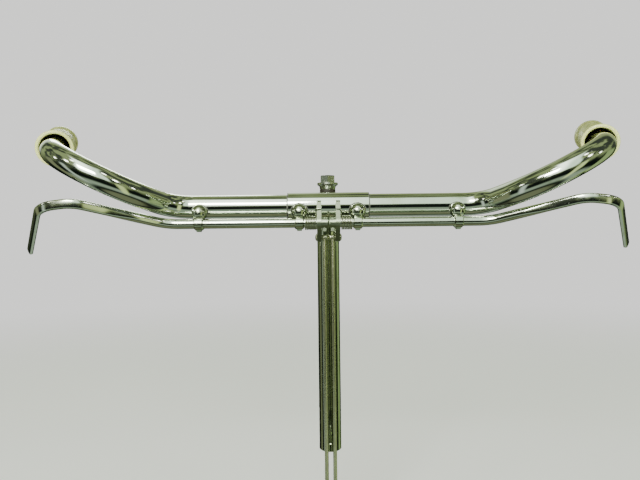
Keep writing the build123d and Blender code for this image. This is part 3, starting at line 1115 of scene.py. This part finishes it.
@dataclass
class Surroundings:
    """What the metal mirrors, by direction: an olive room with a window in front, bands and lamps.

    Pairs of numbers are the two ends of a soft edge, pairs of colours its two sides. A name in _side is
    an edge along X, one in _front along Y, and the rest are edges up Z, into a band and out of it. A
    strip is its turn from the front and half width in radians, and its colour. A lamp is its direction,
    the cosine of its edge and its strength.
    """

    pale: Point = (1.15, 1.15, 1.12)
    dark: Point = (0.006, 0.009, 0.007)
    olive: tuple[Point, Point] = ((0.05, 0.06, 0.045), (0.33, 0.40, 0.19))
    horizon: Pair = (-0.22, 0.30)
    pane: tuple[Point, Point] = ((2.9, 3.15, 2.85), (1.15, 1.40, 1.15))
    pane_side: Pair = (-0.16, 0.20)
    pane_front: Pair = (0.05, -0.30)
    pane_foot: Pair = (0.04, 0.20)
    pane_head: Pair = (0.965, 0.90)
    pane_taper: Pair = (0.35, 0.75)
    pane_widths: Pair = (0.50, 0.34)
    road: Point = (0.40, 0.50, 0.38)
    road_edges: tuple[Pair, Pair] = ((-0.85, -0.68), (-0.40, -0.60))
    ground: tuple[Point, Pair] = ((0.17, 0.19, 0.11), (-0.84, -0.95))
    rim: tuple[Point, Point] = ((1.30, 1.45, 1.20), (0.42, 0.49, 0.24))
    rim_side: Pair = (-0.16, 0.12)
    rim_edges: tuple[Pair, Pair] = ((0.55, 0.75), (0.10, 0.25))
    share: float = 0.8
    strips: tuple[tuple[float, float, Point], ...] = (
        (0.72, 0.10, (0.80, 0.95, 0.42)),
        (1.95, 0.25, (0.34, 0.46, 0.20)),
        (-1.10, 0.07, (0.60, 0.70, 0.62)),
        (-1.75, 0.16, (0.22, 0.24, 0.14)),
    )
    strip_edges: tuple[Pair, Pair] = ((-0.80, -0.60), (0.16, 0.04))
    lamps: tuple[tuple[Point, float, float], ...] = (
        ((0.62, -0.62, 0.48), 0.9965, 9.0),
        ((-0.62, -0.60, 0.50), 0.9965, 9.0),
        ((-0.35, -0.55, 0.76), 0.9975, 7.0),
        ((0.38, -0.52, 0.76), 0.9975, 7.0),
        ((0.90, -0.30, 0.30), 0.9980, 7.0),
        ((-0.92, -0.25, 0.30), 0.9980, 7.0),
    )

    def build(self) -> None:
        """Make the world, which looks pale to the camera itself."""
        world = bpy.data.worlds.new("studio")
        world.use_nodes = True
        bpy.context.scene.world = world
        world.node_tree.nodes.clear()
        graph = self.graph = Graph(world.node_tree)
        self.way = graph.node("ShaderNodeTexCoord").outputs["Generated"]
        self.x, self.y, self.z = graph.node("ShaderNodeSeparateXYZ", {0: self.way}).outputs
        self.sky: object = rgba(self.dark)
        for layer in (self._room, self._window, self._bands, self._strips, self._lamps):
            layer()
        seen = graph.node("ShaderNodeLightPath").outputs["Is Camera Ray"]
        colour = graph.mix(seen, self.sky, rgba(self.pale))
        shade = graph.node("ShaderNodeBackground", {"Color": colour, "Strength": 1.0})
        graph.node("ShaderNodeOutputWorld", {0: shade.outputs[0]})

    def _lay(self, share: object, colour: object) -> None:
        """Mix a colour over the sky so far."""
        self.sky = self.graph.mix(share, self.sky, colour)

    def _graded(self, value: object, edge: Pair, colours: Sequence[Point]) -> Socket:
        """Pass from one plain colour to another along an axis."""
        return self.graph.mix(self.graph.ramp(value, *edge), *map(rgba, colours))

    def _both(self, first: object, one: Pair, second: object, two: Pair) -> Socket:
        """Inside two soft edges, 1, and 0 outside."""
        return self.graph.times(self.graph.ramp(first, *one), self.graph.ramp(second, *two))

    def _room(self) -> None:
        """Lay patches of olive over the dark."""
        patches = self.graph.noise(self.way, 3.2, 3, 0.5)
        self._lay(self.graph.ramp(self.z, *self.horizon), self._graded(patches, (0.44, 0.58), self.olive))

    def _window(self) -> None:
        """Open the window, which narrows upwards and dims to one side."""
        graph = self.graph
        window = self._both(self.y, self.pane_front, self.z, self.pane_foot)
        window = graph.times(window, graph.ramp(self.z, *self.pane_head))
        reach = graph.ramp(self.z, *self.pane_taper, *self.pane_widths)
        spread = graph.math("SUBTRACT", reach, graph.math("ABSOLUTE", self.x))
        window = graph.times(window, graph.ramp(spread, 0.0, 0.12))
        self._lay(window, self._graded(self.x, self.pane_side, self.pane))

    def _bands(self) -> None:
        """Lay the band low down, the ground and the light behind."""
        graph, y, z = self.graph, self.y, self.z
        road = self._both(z, self.road_edges[0], z, self.road_edges[1])
        self._lay(graph.times(road, self.share), rgba(self.road))
        self._lay(graph.ramp(z, *self.ground[1]), rgba(self.ground[0]))
        rim = self._both(y, self.rim_edges[0], z, self.rim_edges[1])
        self._lay(graph.times(rim, self.share), self._graded(self.x, self.rim_side, self.rim))

    def _strips(self) -> None:
        """Stand the upright bands round the object."""
        graph = self.graph
        turn = graph.math("ARCTAN2", self.x, graph.times(self.y, -1.0))
        height = self._both(self.z, self.strip_edges[0], self.z, self.strip_edges[1])
        for middle, half, colour in self.strips:
            gap = graph.math("ABSOLUTE", graph.math("SUBTRACT", turn, middle))
            self._lay(graph.times(height, graph.ramp(gap, half + 0.10, half - 0.04)), rgba(colour))

    def _lamps(self) -> None:
        """Hang the small lamps."""
        for aim, edge, power in self.lamps:
            near = self.graph.node("ShaderNodeVectorMath", {0: self.way, 1: Vector(aim).normalized()},
                                   operation="DOT_PRODUCT").outputs["Value"]
            self._lay(self.graph.ramp(near, edge, edge + 0.0012), rgba((power, power, power * 0.95)))


@dataclass
class Studio:
    """The pale floor, the soft lights and the camera, in metres, with the lens in millimetres.

    A light is its name, place, size, power in watts and colour. Only mirrors show the rims.
    """

    camera_place: Point = (-0.0083, -0.600, 0.0470)
    lens: float = 33.2
    roll: float = -0.65
    floor_gap: float = 0.002
    floor_fade: Pair = (0.7, 2.6)
    around: Surroundings = field(default_factory=Surroundings)
    lights: tuple[tuple[str, Point, Pair, float, Point], ...] = (
        ("key", (-0.35, -1.25, 0.75), (0.6, 0.35), 18.0, (0.98, 1.0, 0.92)),
        ("overhead", (0.1, 0.2, 1.1), (1.3, 0.6), 2.0, (0.97, 1.0, 0.88)),
        ("fill", (1.0, -0.7, 0.25), (0.5, 0.9), 2.0, (0.90, 1.0, 0.82)),
        ("back", (-0.5, 1.1, 0.8), (0.7, 0.25), 5.0, (0.97, 1.0, 0.92)),
    )
    mirrored: tuple[str, ...] = ("key", "back")
    rims: tuple[str, ...] = ("back",)

    def build(self) -> None:
        """Make the camera, the floor, the lights and the surroundings."""
        self._camera()
        self._floor()
        self._lights()
        self.around.build()

    def _camera(self) -> None:
        """Stand the camera in front of the bar, a little below it."""
        data = bpy.data.cameras.new("camera")
        data.lens = self.lens
        camera = linked("camera", data)
        look = Matrix.Rotation(math.radians(90), 4, "X") @ Matrix.Rotation(math.radians(self.roll), 4, "Z")
        camera.matrix_world = Matrix.Translation(self.camera_place) @ look
        bpy.context.scene.camera = camera

    def _floor(self) -> None:
        """Lay a wide pale floor just under the lowest piece."""
        height, reach = cad_low.z - self.floor_gap, 30.0
        mesh = bpy.data.meshes.new("floor")
        corners = [(x * reach, y * reach, height) for x, y in ((-1, -1), (1, -1), (1, 1), (-1, 1))]
        mesh.from_pydata(corners, [], [(0, 1, 2, 3)])
        floor = linked("floor", mesh)
        made = bpy.data.materials.new("pale_floor")
        made.use_nodes = True
        graph, colour = Graph(made.node_tree), rgba(self.around.pale)
        shader = made.node_tree.nodes["Principled BSDF"]
        for name, value in (("Base Color", colour), ("Roughness", 0.9), ("Specular IOR Level", 0.1)):
            shader.inputs[name].default_value = value
        place = graph.node("ShaderNodeTexCoord").outputs["Object"]
        away = graph.node("ShaderNodeVectorMath", {0: place}, operation="LENGTH").outputs["Value"]
        far = graph.node("ShaderNodeEmission", {"Color": colour})
        fade = graph.ramp(away, *self.floor_fade, 0.3)
        blend = graph.one("ShaderNodeMixShader", {0: fade, 1: shader.outputs[0], 2: far.outputs[0]})
        graph.tree.links.new(blend, made.node_tree.nodes["Material Output"].inputs["Surface"])
        mesh.materials.append(made)
        floor.visible_glossy = False

    def _lights(self) -> None:
        """Hang the softboxes round the object, turned to its middle."""
        middle = Vector((0, -0.03, 0.04))
        for name, place, size, power, colour in self.lights:
            data = bpy.data.lights.new(name, "AREA")
            data.shape = "RECTANGLE"
            data.size, data.size_y = size
            data.energy = power
            data.color = colour
            light = linked(name, data)
            light.location = place
            light.visible_glossy = name in self.mirrored
            light.visible_diffuse = name not in self.rims
            light.rotation_mode = "QUATERNION"
            light.rotation_quaternion = (middle - Vector(place)).to_track_quat("-Z", "Y")


def main() -> None:
    """Build the studio, then every sub-assembly in order."""
    logging.basicConfig(level=logging.INFO, format="%(name)s: %(message)s")
    Studio().build()
    wire, knurl = WireTree(), KnurlTree()
    bar = Bar(wire)
    bar.build()
    for node, finish in KEPT_NODES.items():
        dress(node, finish)
    for side in Side:
        Grip(side, bar).build()
        Lever(side).build()
        ReturnSpring(side, wire).build()
        PullRod(side, knurl).build()
        for node, finish in SIDE_NODES.items():
            dress(f"{side.word}_{node}", finish)


if __name__ == "__main__":
    main()
